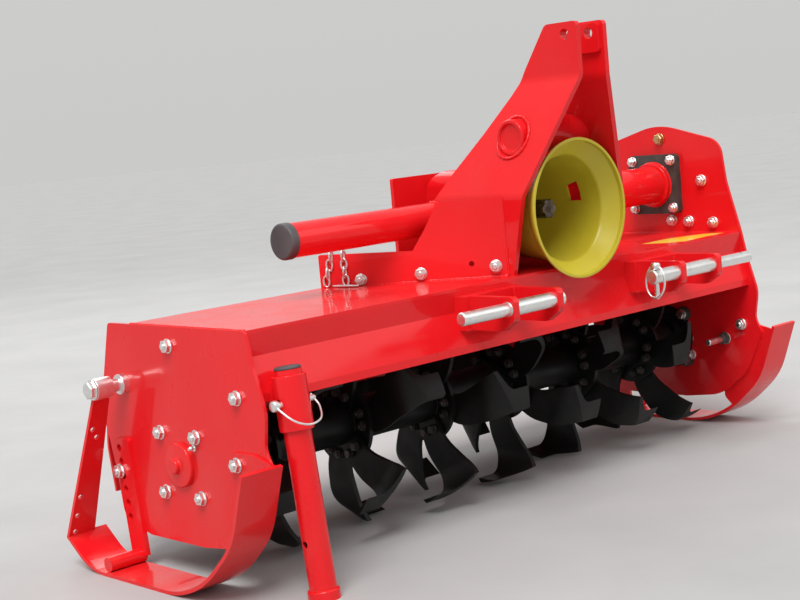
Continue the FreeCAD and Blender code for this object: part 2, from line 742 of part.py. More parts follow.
def bracket_plan():
    """Plan of the left bracket: a base plate against the beam and two ears, as (x, y) from the hitch line."""
    back = -deck_front + size.beam_hollow
    front = beam_front - size.bracket_thk
    tip = pin_y - size.ear_nose
    outer = -size.pin_spread / 2
    inner = outer + size.ear_thk + size.ear_gap
    edge = size.bracket_edge
    return [
        (outer - edge, back), (outer - edge, front), (outer, front), (outer, tip, 3),
        (outer + size.ear_thk, tip, 3), (outer + size.ear_thk, front, 3), (inner, front, 3), (inner, tip, 3),
        (inner + size.ear_thk, tip, 3), (inner + size.ear_thk, front), (inner + size.ear_thk + edge, front),
        (inner + size.ear_thk + edge, back),
    ]


def bracket_side():
    """Side view of a bracket, whose back follows the beam's face."""
    top = pin_z + size.ear_over
    low = pin_z - size.ear_under
    tip = pin_y - size.ear_nose
    brow = beam_face()[1]
    bends = [brow] if low < brow[1] < top else []
    return [
        (on_beam(low), low), *bends, (on_beam(top), top),
        (tip, top, 12), (tip, low + 20, 12), (tip + 30, low, 16),
    ]


def make_brackets():
    for word, sign, inboard in (("left", 1, size.pin_stub), ("right", -1, size.pin_inboard)):
        plan = rounded([(sign * point[0],) + tuple(point[1:]) for point in bracket_plan()])
        height = "Sizes.ear_over + Sizes.ear_under"
        plate = padded(f"bracket_plan_{word}", "XY", [plan], height, (hitch, 0, pin_z - size.ear_under))
        width = "Sizes.pin_spread + 2 * Sizes.bracket_edge"
        start = hitch - size.pin_spread / 2 - size.bracket_edge
        view = padded(f"bracket_side_{word}", "YZ", [rounded(bracket_side())], width, (start, 0, 0))
        hole = across(f"bracket_hole_{word}", pin_y, pin_z, "Sizes.pin_body", width)
        keep(less(f"bracket_cut_{word}", shared(f"bracket_shape_{word}", plate, view), [hole]),
             f"hitch_bracket_{word}")
        make_hitch_pin(word, sign, inboard)


def make_hitch_pin(word, sign, inboard):
    """A stepped pin: the link's journal outside the bracket, a thicker body through both ears and an
    end past the inner ear, with a cross hole for a linch pin outside the ears and in a long inner end."""
    radius = size.pin_radius
    body = size.pin_body
    step = size.pin_outboard
    length = step + 2 * size.ear_thk + size.ear_gap + inboard
    round_end = size.pin_chamfer
    profile = [(0, 0), (radius, 0, round_end), (radius, step), (body, step), (body, length, round_end), (0, length)]
    base = Vector(hitch - sign * (size.pin_spread / 2 + step), pin_y, pin_z)
    bar = turned(f"pin_turned_{word}", profile, Placement(base, Rotation(Vector(0, 1, 0), 90 * sign)))
    holes = []
    ends = [("outer", 28), ("inner", length - 14)]
    for end, along in ends if inboard > 2 * body else ends[:1]:
        place = (base.x + sign * along, pin_y, pin_z - size.pin_body - 1)
        holes.append(rod(f"pin_hole_{end}_{word}", "Sizes.pin_hole", "2 * Sizes.pin_body + 2", place))
    keep(less(f"pin_cut_{word}", bar, holes), f"hitch_pin_{word}")


# Skids, each with its rear pin and its adjuster strap

SKID_HEEL = (256, 50)
STRAP_TOP = (162, 216)
STRAP_FOOT = (142, 18)


def skid_path():
    """Side view of the skid's under side, from the front tongue round the sole to the heel."""
    return [(-264, 212), (-222, 100, 150), (-110, 0, 220), (190, 0, 120), SKID_HEEL]


def make_skids():
    for word, sign in (("left", -1), ("right", 1)):
        face = sign * half_out
        outer = face + sign * size.skid_width
        sole = padded(f"skid_sole_{word}", "YZ", [rounded(strip(skid_path(), size.skid_thk))],
                      "Sizes.skid_width", (min(face, outer), 0, 0))
        ear = rounded([(-257, 208), (-216, 104), (-150, 42), (-132, 60, 12), (-138, 222, 14), (-200, 222, 14)])
        ear_start = face if sign > 0 else face - size.ear_plate
        ear_plate = padded(f"skid_ear_{word}", "YZ", [ear], "Sizes.ear_plate", (ear_start, 0, 0))
        head = face + sign * (size.skid_pin_length - 2)
        eye_start = min(head, head - sign * size.arm_head)
        eye = rod(f"skid_eye_{word}", "Sizes.boss_radius", "Sizes.arm_head", (eye_start, *skid_pin), X_TURN)
        hole = rod(f"skid_hole_{word}", "Sizes.skid_pin_radius", "Sizes.arm_head", (eye_start, *skid_pin), X_TURN)
        whole = joined(f"skid_whole_{word}", [sole, ear_plate, make_arm(word, sign, outer, head), eye])
        keep(less(f"skid_cut_{word}", whole, [hole]), f"skid_{word}")
        make_skid_pin(word, sign)
        make_strap(word, sign)


def make_arm(word, sign, outer, head):
    """The rear arm from the sole's heel up to the skid's pin: flat bar that narrows upwards, with a
    row of small holes."""
    heel = Vector(0, *SKID_HEEL)
    along = Vector(0, *skid_pin) - heel
    length = along.Length - size.skid_pin_radius - 2
    outline = rounded([
        (outer, 0), (outer - sign * size.arm_foot, 0), (head - sign * size.arm_head, length), (head, length),
    ])
    holes = []
    for near, share in ((0.86, 0.25), (0.79, 0.6), (0.3, 0.3), (0.14, 0.35), (0.0, 0.4)):
        x = outer + (head - outer) * near - sign * size.arm_head * share
        holes.append(circle(x, 12 + (length - 40) * near, size.arm_hole))
    bar = padded(f"skid_arm_{word}", "XY", [outline] + holes, "Sizes.skid_thk", (0, 0, 0))
    lean = math.degrees(math.atan2(along.z, along.y))
    bar.Placement = Placement(heel, Rotation(Vector(1, 0, 0), lean))
    return bar


def make_skid_pin(word, sign):
    """The plated pin that stands out of its boss on the side plate and carries the rear arm."""
    radius = size.skid_pin_radius
    length = size.skid_pin_length
    profile = [
        (0, -size.plate_thk), (radius, -size.plate_thk), (radius, 0), (size.boss_radius, 0),
        (size.boss_radius, size.boss_length, 2), (radius, size.boss_length), (radius, length, 3), (0, length),
    ]
    turn = Rotation(Vector(0, 1, 0), 90 * sign)
    keep(turned(f"skid_pin_turned_{word}", profile, Placement(Vector(sign * half_out, *skid_pin), turn)),
         f"skid_pin_{word}")


def make_strap(word, sign):
    """The flat strap of holes that stands on the sole by its round foot."""
    half = size.strap_width / 2
    top = Vector(*STRAP_TOP, 0)
    foot = Vector(*STRAP_FOOT, 0)
    along = (top - foot).normalize()
    side = Vector(along.y, -along.x, 0)
    corners = [foot - side * half, foot + side * half, top + side * half, top - side * half]
    outline = rounded([(corner.x, corner.y, 8 if i > 1 else 0) for i, corner in enumerate(corners)])
    holes = []
    for i in range(6):
        spot = top - along * (16 + size.strap_pitch * i) + side * 8
        holes.append(circle(spot.x, spot.y, size.strap_hole))
    start = half_out if sign > 0 else -half_out - size.strap_thk
    bar = padded(f"strap_bar_{word}", "YZ", [outline] + holes, "Sizes.strap_thk", (start, 0, 0))
    foot_start = half_out if sign > 0 else -half_out - size.skid_width + 6
    roller = rod(f"strap_foot_{word}", "Sizes.strap_foot", "Sizes.skid_width - 6", (foot_start, *STRAP_FOOT), X_TURN)
    keep(joined(f"strap_whole_{word}", [bar, roller]), f"skid_strap_{word}")


# Parking stand

def make_stand():
    """A tube leg in a sleeve on the front beam. Both lean, so their own Z starts where the leg's
    axis passes the beam's lower edge."""
    bore = size.stand_radius + size.sleeve_fit
    outer = bore + size.sleeve_wall
    middle = beam_front - outer - 1
    place = Placement(Vector(-size.stand_side, middle, beam_low), Rotation(Vector(1, 0, 0), -size.stand_lean))
    over = size.sleeve_over
    under = -size.sleeve_under
    tube = turned("sleeve_turned", [(bore, under), (outer, under, 2), (outer, over, 2), (bore, over)], place)
    pad_top = beam_low + 28
    pad_view = rounded([
        (beam_front, beam_low), (beam_front, beam_low + size.beam_lip), (on_beam(pad_top), pad_top),
        (middle, pad_top), (middle, beam_low),
    ])
    pad = padded("sleeve_pad", "YZ", [pad_view], "Sizes.stand_pad", (-size.stand_side - size.stand_pad / 2, 0, 0))
    room = rod("sleeve_room", "Sizes.stand_radius + Sizes.sleeve_fit", "400", (0, 0, 0))
    room.Placement = place * Placement(Vector(0, 0, -200), NO_TURN)
    lock = stand_hole("sleeve_lock", place, 0)
    keep(less("sleeve_cut", joined("sleeve_whole", [tube, pad]), [room, lock]), "stand_sleeve")
    make_leg(place, over)


def stand_hole(name, place, z):
    """A cross hole along X at a height on the stand's own axis."""
    reach = size.foot_radius + size.sleeve_wall
    hole = rod(name, "Sizes.stand_hole", "2 * (Sizes.foot_radius + Sizes.sleeve_wall)", (0, 0, 0))
    hole.Placement = place * Placement(Vector(-reach, 0, z), X_TURN)
    return hole


def make_leg(place, over):
    """The leg, cut level at the ground, with a foot ring and a hole for the lowered and the lifted place."""
    inner = size.stand_radius - size.stand_wall
    sole = -beam_low / math.cos(math.radians(size.stand_lean)) - 6
    ring = sole + 6 + size.foot_height
    profile = [
        (inner, sole), (size.foot_radius, sole), (size.foot_radius, ring, 3), (size.stand_radius, ring),
        (size.stand_radius, over + 8), (inner, over + 8),
    ]
    ground = block("leg_ground", ("200", "200", "100"), (-size.stand_side - 100, place.Base.y - 150, -100))
    holes = [stand_hole(f"leg_hole_{i}", place, -size.stand_travel * i) for i in range(2)]
    keep(less("leg_cut", turned("leg_turned", profile, place), [ground] + holes), "stand_leg")


# Rotor

def filled(loop, turn):
    """A face from a closed loop, turned out of the XY plane."""
    face = Part.Face(Part.Wire([edge.toShape() for edge in loop]))
    face.Placement = Placement(Vector(), turn)
    return face


def tine_blade():
    """Side view of a tine at the top of its turn, as (y, z, corner radius): a narrow shank on the
    flange that widens to a blade swept back to a point."""
    tip = size.rotor_radius
    return [
        (-22, 34), (-26, tip * 0.53, 90), (-2, tip * 0.87, 60), (26, tip + 16),
        (104, tip * 0.97, 6), (62, tip * 0.7, 60), (28, tip * 0.45, 80), (22, 34),
    ]


def tine_solid():
    """One tine at the top of its turn: an L bent from flat bar and trimmed to its blade."""
    start = size.disc_thk / 2
    tip = size.rotor_radius
    shank = start + size.tine_thk
    sole = tip - size.tine_thk
    bend = [(shank, 34), (shank, sole, size.tine_bend), (size.tine_reach, sole)]
    bar = filled(rounded(strip(bend, size.tine_thk)), TO_XZ).extrude(Vector(0, -160, 0))
    bar.translate(Vector(0, 120, 0))
    outline = filled(rounded(tine_blade()), TO_YZ).extrude(Vector(size.tine_reach + 1, 0, 0))
    round_tip = Part.makeCylinder(tip, size.tine_reach, Vector(), Vector(1, 0, 0))
    return bar.common(outline).common(round_tip)


FLANGES = 6
TINES_PER_FLANGE = 6
HELIX_STEP = 20


def make_rotor():
    half = half_gap - size.bearing_thk - 14
    along = Vector(1, 0, 0)
    idle_end = half_out + 2
    drive_end = half_out + size.case_depth / 2
    pieces = [
        Part.makeCylinder(size.tube_radius, 2 * half, Vector(-half, 0, 0), along),
        Part.makeCylinder(size.journal_radius, idle_end + drive_end, Vector(-idle_end, 0, 0), along),
    ]
    tine = tine_solid()
    mirrored = tine.mirror(Vector(), along)
    for i in range(FLANGES):
        x = (i - (FLANGES - 1) / 2) * size.disc_pitch
        pieces.append(Part.makeCylinder(size.disc_radius, size.disc_thk, Vector(x - size.disc_thk / 2, 0, 0), along))
        for k in range(TINES_PER_FLANGE):
            copy = (tine if k % 2 else mirrored).copy()
            copy.rotate(Vector(), along, 360 / TINES_PER_FLANGE * k + HELIX_STEP * i)
            copy.translate(Vector(x, 0, 0))
            pieces.append(copy)
    whole = pieces[0].fuse(pieces[1:]).removeSplitter()
    keep(built("rotor_fused", whole, Placement(Vector(0, 0, axis_z), NO_TURN)), "rotor")


def make_bearings():
    inner = size.journal_radius + size.shaft_fit
    outline = [
        (inner, 0), (size.bearing_radius, 0, 3), (size.bearing_radius, 12, 3), (42, 12, 3),
        (40, size.bearing_thk, 2), (inner, size.bearing_thk),
    ]
    for word, start, grow in (("left", -half_gap, 1), ("right", half_gap, -1)):
        place = Placement(Vector(start, 0, axis_z), Rotation(Vector(0, 1, 0), 90 * grow))
        keep(turned(f"bearing_turned_{word}", outline, place), f"bearing_{word}")


def make_hub_cap():
    """The closed cap over the idle end of the rotor's shaft."""
    room = size.journal_radius + 6
    outline = [(0, 5), (room, 5), (room, 0), (room + 10, 0), (room + 10, 8, 3), (12, 10, 4), (12, 18, 3), (0, 18)]
    place = Placement(Vector(-half_out, 0, axis_z), Rotation(Vector(0, 1, 0), -90))
    keep(turned("cap_over_journal", outline, place), "hub_cap")


# Tailgate

def make_tailgate():
    """The rear hood, hung from a rod behind the deck."""
    y = size.hinge_behind
    low = hinge_z - size.tail_length
    path = [
        (y + 6, hinge_z - 5),
        (y + 50, hinge_z - 66, 60),
        (y + 70, low + 80, 80),
        (y + 60, low),
    ]
    width = "Sizes.plate_gap - 2 * Sizes.tail_clear"
    outline = rounded(strip(path, size.deck_thk, side=-1))
    hood = padded("tail_sheet", "YZ", [outline], width, (size.tail_clear - half_gap, 0, 0))
    notched = less("tail_notched", hood, knuckle_gaps("tail", DECK_KNUCKLES))
    whole = joined("tail_whole", [notched] + knuckles("tail", TAIL_KNUCKLES))
    bore = on_hinge("tail_bore", 0, "Sizes.plate_gap", "Sizes.hinge_radius + Sizes.shaft_fit")
    keep(less("tail_cut", whole, [bore]), "tailgate")
    keep(on_hinge("tail_rod", 0, "Sizes.plate_gap", "Sizes.hinge_radius"), "hinge_rod")


make_deck()
make_beam()
make_panels()
make_brace()
make_side_plates()
make_gear_case()
make_drive()
make_gearbox()
make_stub()
make_input_shaft()
make_shield()
make_mast()
make_brackets()
make_skids()
make_stand()
make_rotor()
make_bearings()
make_hub_cap()
make_tailgate()
doc.recompute()

# Checks, then one file for each sub-part

for obj in doc.Objects:
    if "Invalid" in obj.State or "Error" in obj.State:
        raise RuntimeError(f"{obj.Name} failed: {obj.State}")
bounds = FreeCAD.BoundBox()
for node in nodes:
    if node.Shape.isNull() or not node.Shape.isValid():
        raise RuntimeError(f"{node.Label} has no valid shape")
    bounds.add(node.Shape.optimalBoundingBox())
shift = Vector(-bounds.Center.x, -bounds.Center.y, -bounds.ZMin)
print("shift", shift, "size", bounds.XLength, bounds.YLength, bounds.ZLength)
for node in nodes:
    print(f"{node.Label:22s} solids {len(node.Shape.Solids)} volume {node.Shape.Volume / 1000:9.1f} cm3")
    node.Placement.Base = node.Placement.Base + shift
    node.Shape.exportStep(f"parts/{node.Label}.step")
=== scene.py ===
import json
import math

import bmesh
import bpy
from mathutils import Matrix, Vector


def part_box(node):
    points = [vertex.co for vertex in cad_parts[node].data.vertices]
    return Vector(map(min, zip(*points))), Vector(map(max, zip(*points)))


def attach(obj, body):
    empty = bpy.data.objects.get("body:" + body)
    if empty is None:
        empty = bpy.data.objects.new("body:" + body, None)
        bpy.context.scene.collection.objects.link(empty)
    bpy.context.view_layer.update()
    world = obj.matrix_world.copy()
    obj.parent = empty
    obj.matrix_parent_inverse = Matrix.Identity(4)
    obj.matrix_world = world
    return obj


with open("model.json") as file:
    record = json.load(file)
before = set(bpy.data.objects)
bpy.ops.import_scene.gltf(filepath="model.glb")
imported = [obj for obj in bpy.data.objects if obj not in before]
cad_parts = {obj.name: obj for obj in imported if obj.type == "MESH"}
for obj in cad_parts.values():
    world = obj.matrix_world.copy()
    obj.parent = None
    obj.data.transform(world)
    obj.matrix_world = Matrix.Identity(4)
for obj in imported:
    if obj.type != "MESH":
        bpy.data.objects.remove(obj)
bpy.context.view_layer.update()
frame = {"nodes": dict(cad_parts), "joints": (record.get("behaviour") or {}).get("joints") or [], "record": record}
record = frame["record"]

# Places: machine coordinates in mm, from the middle of the deck, the rotor's axis and the ground

axis = next(j for j in frame["joints"] if j["name"] == "rotor_spin")["pos_m"]
AXIS_Y, AXIS_Z = axis[1], axis[2]


def at(x, y, z):
    """A machine place in mm as a place in the frame."""
    return Vector((x / 1000, y / 1000 + AXIS_Y, z / 1000))


FACE_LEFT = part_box("side_plate_left")[0].x * 1000
FACE_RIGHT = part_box("side_plate_right")[0].x * 1000
FRONT, REAR = Vector((0, -1, 0)), Vector((0, 1, 0))
LEFT, RIGHT = Vector((-1, 0, 0)), Vector((1, 0, 0))
UP = Vector((0, 0, 1))

# Camera, from the fit to the photograph: turns in degrees, focal length in the photograph's
# pixels, place in mm

AZIMUTH, PITCH, ROLL, FOCAL_PX = -42.41, 6.658, -5.334, 1506.43
CAMERA_AT = (-1955.98, -1990.57, 691.66)
PHOTO_WIDTH_PX = 800
SENSOR_MM = 36


def make_camera():
    """The photograph's camera."""
    a, p, r = (math.radians(v) for v in (AZIMUTH, PITCH, ROLL))
    ahead = Vector((-math.sin(a) * math.cos(p), math.cos(a) * math.cos(p), -math.sin(p)))
    level = Vector((math.cos(a), math.sin(a), 0))
    above = level.cross(ahead)
    across = level * math.cos(r) + above * math.sin(r)
    upward = above * math.cos(r) - level * math.sin(r)
    data = bpy.data.cameras.new("camera")
    data.sensor_width = SENSOR_MM
    data.lens = FOCAL_PX * SENSOR_MM / PHOTO_WIDTH_PX
    camera = bpy.data.objects.new("camera", data)
    turn = Matrix((across, upward, -ahead)).transposed().to_4x4()
    camera.matrix_world = Matrix.Translation(at(*CAMERA_AT)) @ turn
    bpy.context.scene.collection.objects.link(camera)
    bpy.context.scene.camera = camera


# Materials

class Look:
    """One material's node tree, with short names for the nodes it needs."""

    def __init__(self, name, **sockets):
        self.material = bpy.data.materials.new(name)
        self.material.use_nodes = True
        self.tree = self.material.node_tree
        self.shader = self.tree.nodes["Principled BSDF"]
        for socket, value in sockets.items():
            self.shader.inputs[socket.replace("_", " ")].default_value = value
        self.place = self.tree.nodes.new("ShaderNodeTexCoord").outputs["Object"]

    def link(self, source, target):
        self.tree.links.new(source, target)

    def noise(self, scale, detail):
        node = self.tree.nodes.new("ShaderNodeTexNoise")
        node.inputs["Scale"].default_value = scale
        node.inputs["Detail"].default_value = detail
        self.link(self.place, node.inputs["Vector"])
        return node.outputs["Fac"]

    def cells(self, scale):
        node = self.tree.nodes.new("ShaderNodeTexVoronoi")
        node.inputs["Scale"].default_value = scale
        self.link(self.place, node.inputs["Vector"])
        return node.outputs["Distance"]

    def ramp(self, value, low, high, first=0.0, last=1.0):
        node = self.tree.nodes.new("ShaderNodeMapRange")
        for socket, number in (("From Min", low), ("From Max", high),
                               ("To Min", first), ("To Max", last)):
            node.inputs[socket].default_value = number
        self.link(value, node.inputs["Value"])
        return node.outputs["Result"]

    def times(self, one, other):
        node = self.tree.nodes.new("ShaderNodeMath")
        node.operation = "MULTIPLY"
        for i, value in enumerate((one, other)):
            if isinstance(value, (int, float)):
                node.inputs[i].default_value = value
            else:
                self.link(value, node.inputs[i])
        return node.outputs[0]

    def mixed(self, amount, one, other):
        node = self.tree.nodes.new("ShaderNodeMix")
        node.data_type = "RGBA"
        self.link(amount, node.inputs["Factor"])
        for socket, value in (("A", one), ("B", other)):
            target = [s for s in node.inputs if s.name == socket and s.type == "RGBA"][0]
            if isinstance(value, tuple):
                target.default_value = (*value, 1)
            else:
                self.link(value, target)
        return [s for s in node.outputs if s.type == "RGBA"][0]

    def upward(self, source):
        """The Z part of a place or direction."""
        node = self.tree.nodes.new("ShaderNodeSeparateXYZ")
        self.link(source, node.inputs[0])
        return node.outputs["Z"]

    def facing(self):
        """The direction that the surface looks to."""
        return self.tree.nodes.new("ShaderNodeNewGeometry").outputs["Normal"]

    def colour(self, value):
        self.link(value, self.shader.inputs["Base Color"])

    def roughness(self, value):
        self.link(value, self.shader.inputs["Roughness"])

    def bumps(self, *heights):
        """Height fields, each with its strength and its depth in metres, one over the other."""
        normal = None
        for height, strength, depth in heights:
            node = self.tree.nodes.new("ShaderNodeBump")
            node.inputs["Strength"].default_value = strength
            node.inputs["Distance"].default_value = depth
            self.link(height, node.inputs["Height"])
            if normal:
                self.link(normal, node.inputs["Normal"])
            normal = node.outputs["Normal"]
        self.link(normal, self.shader.inputs["Normal"])


def dusty(look, colour, dust, most):
    """The colour with dust over it that gathers low down and on top faces."""
    low = look.ramp(look.upward(look.place), 0.32, 0.02, 0.25, 1.0)
    top = look.ramp(look.upward(look.facing()), 0.2, 1.0, 0.5, 1.0)
    patch = look.ramp(look.noise(9, 6), 0.42, 0.75)
    return look.mixed(look.times(look.times(low, top), look.times(patch, most)), colour, dust)


def red_paint():
    look = Look("red_paint", Coat_Weight=0.45, Coat_Roughness=0.06, IOR=1.5,
                Specular_IOR_Level=0.12)
    patch = look.ramp(look.noise(2.4, 3), 0.35, 0.65)
    shade = look.mixed(patch, (0.72, 0.007, 0.011), (0.80, 0.010, 0.015))
    look.colour(dusty(look, shade, (0.42, 0.16, 0.13), 0.35))
    look.roughness(look.ramp(look.noise(14, 5), 0.3, 0.7, 0.24, 0.40))
    look.bumps((look.noise(5, 2), 0.25, 0.004), (look.noise(420, 2), 0.10, 0.0004))
    return look.material


def zinc_plate():
    look = Look("zinc_plate", Metallic=1.0)
    spangle = look.ramp(look.cells(160), 0.0, 0.6)
    shade = look.mixed(spangle, (0.88, 0.88, 0.87), (0.80, 0.80, 0.785))
    tarnish = look.ramp(look.noise(45, 5), 0.55, 0.8, 0.0, 0.4)
    look.colour(look.mixed(tarnish, shade, (0.62, 0.58, 0.48)))
    look.roughness(look.ramp(look.noise(70, 5), 0.3, 0.7, 0.28, 0.44))
    look.bumps((look.noise(300, 3), 0.10, 0.0003),)
    return look.material


def black_tine():
    look = Look("black_tine", Coat_Weight=0.06, Coat_Roughness=0.25, Specular_IOR_Level=0.22)
    patch = look.ramp(look.noise(20, 6), 0.35, 0.7)
    shade = look.mixed(patch, (0.0032, 0.0032, 0.0035), (0.0085, 0.0082, 0.0078))
    look.colour(dusty(look, shade, (0.045, 0.041, 0.036), 0.26))
    look.roughness(look.ramp(look.noise(30, 6), 0.3, 0.7, 0.40, 0.60))
    look.bumps((look.noise(26, 4), 0.3, 0.0015), (look.noise(300, 3), 0.2, 0.0005))
    return look.material


def yellow_plastic():
    look = Look("yellow_plastic", Specular_IOR_Level=0.45)
    patch = look.ramp(look.noise(7, 3), 0.35, 0.65)
    shade = look.mixed(patch, (0.46, 0.37, 0.018), (0.54, 0.45, 0.032))
    look.colour(dusty(look, shade, (0.35, 0.29, 0.12), 0.5))
    look.roughness(look.ramp(look.noise(25, 4), 0.3, 0.7, 0.30, 0.44))
    look.bumps((look.noise(600, 2), 0.12, 0.0003),)
    return look.material


SPECKLED = (
    # name, shader sockets, (noise scale, detail, ramp from, to), its two colours,
    # (roughness noise scale, detail, least, most),
    # (bump noise scale, detail, strength, depth in m)
    ("dark_plastic", {}, (30, 5, 0.35, 0.7), (0.050, 0.046, 0.050), (0.085, 0.078, 0.082),
     (60, 4, 0.45, 0.62), (500, 3, 0.25, 0.0004)),
    ("shaft_steel", {"Metallic": 0.9}, (60, 6, 0.35, 0.65), (0.20, 0.17, 0.15),
     (0.07, 0.045, 0.035), (80, 5, 0.28, 0.50), (200, 3, 0.2, 0.0004)),
    ("dark_paint", {}, (40, 6, 0.35, 0.7), (0.030, 0.033, 0.030), (0.065, 0.070, 0.062),
     (50, 5, 0.45, 0.65), (180, 4, 0.4, 0.0006)),
    ("brass", {"Metallic": 1.0}, (90, 5, 0.35, 0.7), (0.62, 0.44, 0.20), (0.42, 0.30, 0.16),
     (70, 5, 0.28, 0.48), (300, 3, 0.15, 0.0004)),
    ("tine_bolt", {"Metallic": 0.6}, (60, 5, 0.35, 0.7), (0.035, 0.033, 0.032), (0.11, 0.10, 0.09),
     (70, 5, 0.34, 0.55), (260, 3, 0.2, 0.0004)),
    ("yellow_film", {"Coat_Weight": 0.5, "Coat_Roughness": 0.12}, (12, 4, 0.35, 0.7),
     (0.90, 0.66, 0.030), (0.96, 0.80, 0.120), (40, 4, 0.28, 0.42), (300, 2, 0.08, 0.0003)),
)


def speckled(name, sockets, spots, one, other, gloss, grain):
    """A plain look of two colours that run into each other, from a row of the table above."""
    look = Look(name, **sockets)
    look.colour(look.mixed(look.ramp(look.noise(*spots[:2]), *spots[2:]), one, other))
    look.roughness(look.ramp(look.noise(*gloss[:2]), 0.3, 0.7, *gloss[2:]))
    look.bumps((look.noise(*grain[:2]), *grain[2:]))
    return look.material


LOOKS = {make.__name__: make() for make in (red_paint, zinc_plate, black_tine, yellow_plastic)}
LOOKS.update((row[0], speckled(*row)) for row in SPECKLED)


def dress_nodes():
    """Gives every solid the look of the slot that its record names."""
    slots = {part["node"]: part["material_slot"] for part in record["subparts"]}
    for name, node in frame["nodes"].items():
        node.data.materials.clear()
        node.data.materials.append(LOOKS[slots[name]])


# Small pieces

def placed(spot, direction):
    """A matrix that stands +Z along a direction at a place."""
    return Matrix.Translation(spot) @ direction.to_track_quat("Z", "Y").to_matrix().to_4x4()


def rings(bm, outline, sides, matrix, skew=0.0):
    """A closed surface from (radius, height) pairs in mm, round +Z of a matrix."""
    loops = []
    for radius, height in outline:
        loop = []
        for i in range(sides):
            a = 2 * math.pi * (i + skew) / sides
            spot = Vector((radius * math.cos(a), radius * math.sin(a), height)) / 1000
            loop.append(bm.verts.new(matrix @ spot))
        loops.append(loop)
    for one, other in zip(loops, loops[1:]):
        for i in range(sides):
            k = (i + 1) % sides
            bm.faces.new((one[i], one[k], other[k], other[i]))
    bm.faces.new(loops[0][::-1])
    bm.faces.new(loops[-1])


def finished(name, bm, look, body, smooth=30):
    """Makes a piece of the mesh, with its material, its body and smooth curved faces."""
    mesh = bpy.data.meshes.new(name)
    bmesh.ops.recalc_face_normals(bm, faces=bm.faces)
    bm.to_mesh(mesh)
    bm.free()
    piece = bpy.data.objects.new(name, mesh)
    bpy.context.scene.collection.objects.link(piece)
    mesh.materials.append(LOOKS[look])
    mesh.shade_smooth()
    mesh.set_sharp_from_angle(angle=math.radians(smooth))
    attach(piece, body)


def slab(bm, one, other):
    """A closed slab between two like outlines of places in the frame."""
    near, far = [[bm.verts.new(spot) for spot in outline] for outline in (one, other)]
    bm.faces.new(near)
    bm.faces.new(far[::-1])
    for i in range(len(near)):
        k = (i + 1) % len(near)
        bm.faces.new((near[i], far[i], far[k], near[k]))


def hexagon(bm, spot, direction, across, height, lift=0.0):
    """A chamfered hexagon on a washer, at a place in the frame and turned by its height."""
    matrix = placed(spot + direction * (lift / 1000), direction)
    inner = across / 2
    outer = inner / math.cos(math.pi / 6)
    washer = across * 0.63
    edge = washer - 0.6
    rings(bm, ((edge, -0.5), (washer, 0.2), (washer, 1.9), (edge, 2.4)), 32, matrix)
    rings(bm, ((outer, 2.2), (outer, 1.2 + height), (inner, 2.2 + height)), 6, matrix,
          skew=0.17 * spot.z)
    return matrix


def nut(bm, spot, direction, across=19.0, stud=3.5):
    """A washer, a chamfered nut and the rounded end of its stud."""
    height = across * 0.42
    matrix = hexagon(bm, spot, direction, across, height)
    end, top = across * 0.3, height + 2
    rings(bm, ((end, 2), (end, top + stud * 0.6), (end * 0.7, top + stud)), 20, matrix)


def nuts(name, spots, direction, body, look="zinc_plate", **sizes):
    """A piece of like nuts at places in mm."""
    bm = bmesh.new()
    for spot in spots:
        nut(bm, at(*spot), direction, **sizes)
    finished(name, bm, look, body)


def smoothed(points, steps, closed):
    """Points on a Catmull-Rom curve through the given ones."""
    count = len(points)
    spots = [Vector(p) for p in points]
    out = []
    for i in range(count if closed else count - 1):
        if closed:
            a, b, c, d = (spots[(i + k) % count] for k in (-1, 0, 1, 2))
        else:
            a, b, c, d = (spots[min(max(i + k, 0), count - 1)] for k in (-1, 0, 1, 2))
        for n in range(steps):
            t = n / steps
            out.append(0.5 * (2 * b + (c - a) * t + (2 * a - 5 * b + 4 * c - d) * t ** 2
                              + (3 * b - a - 3 * c + d) * t ** 3))
    return out if closed else out + [spots[-1]]


def sweep(bm, spots, radii, sides, closed):
    """A round tube along places in mm, with a radius at each."""
    count = len(spots)
    loops = []
    side = None
    for i, spot in enumerate(spots):
        if closed:
            along = (spots[(i + 1) % count] - spots[i - 1]).normalized()
        else:
            along = (spots[min(i + 1, count - 1)] - spots[max(i - 1, 0)]).normalized()
        start = side or (UP if abs(along.z) < 0.8 else RIGHT)
        side = (start - along * start.dot(along)).normalized()
        other = along.cross(side)
        loop = []
        for k in range(sides):
            a = 2 * math.pi * k / sides
            offset = (side * math.cos(a) + other * math.sin(a)) * radii[i]
            loop.append(bm.verts.new(at(*(spot + offset))))
        loops.append(loop)
    pairs = list(zip(loops, loops[1:])) + ([(loops[-1], loops[0])] if closed else [])
    for one, two in pairs:
        for k in range(sides):
            n = (k + 1) % sides
            bm.faces.new((one[k], one[n], two[n], two[k]))
    if not closed:
        bm.faces.new(loops[0][::-1])
        bm.faces.new(loops[-1])


def wire(bm, points, radius, closed=False, sides=10, steps=8):
    """Bent wire through places in mm."""
    spots = smoothed(points, steps, closed)
    sweep(bm, spots, [radius] * len(spots), sides, closed)


def bead(bm, points, width, closed=False):
    """A rippled weld bead along places in mm."""
    spots = []
    count = len(points)
    for i in range(count if closed else count - 1):
        here, there = Vector(points[i]), Vector(points[(i + 1) % count])
        steps = max(2, round((there - here).length / 3))
        spots += [here.lerp(there, n / steps) for n in range(steps)]
    if not closed:
        spots.append(Vector(points[-1]))
    radii = [width * (0.88 + 0.12 * math.sin(1.9 * i) + 0.10 * math.sin(0.37 * i + width))
             for i in range(len(spots))]
    sweep(bm, spots, radii, 7, closed)


def oval(middle, width, height, across, up, count):
    """Places round an ellipse of two half sizes along two directions."""
    turns = (2 * math.pi * i / count for i in range(count))
    return [Vector(middle) + across * (width * math.cos(a)) + up * (height * math.sin(a))
            for a in turns]


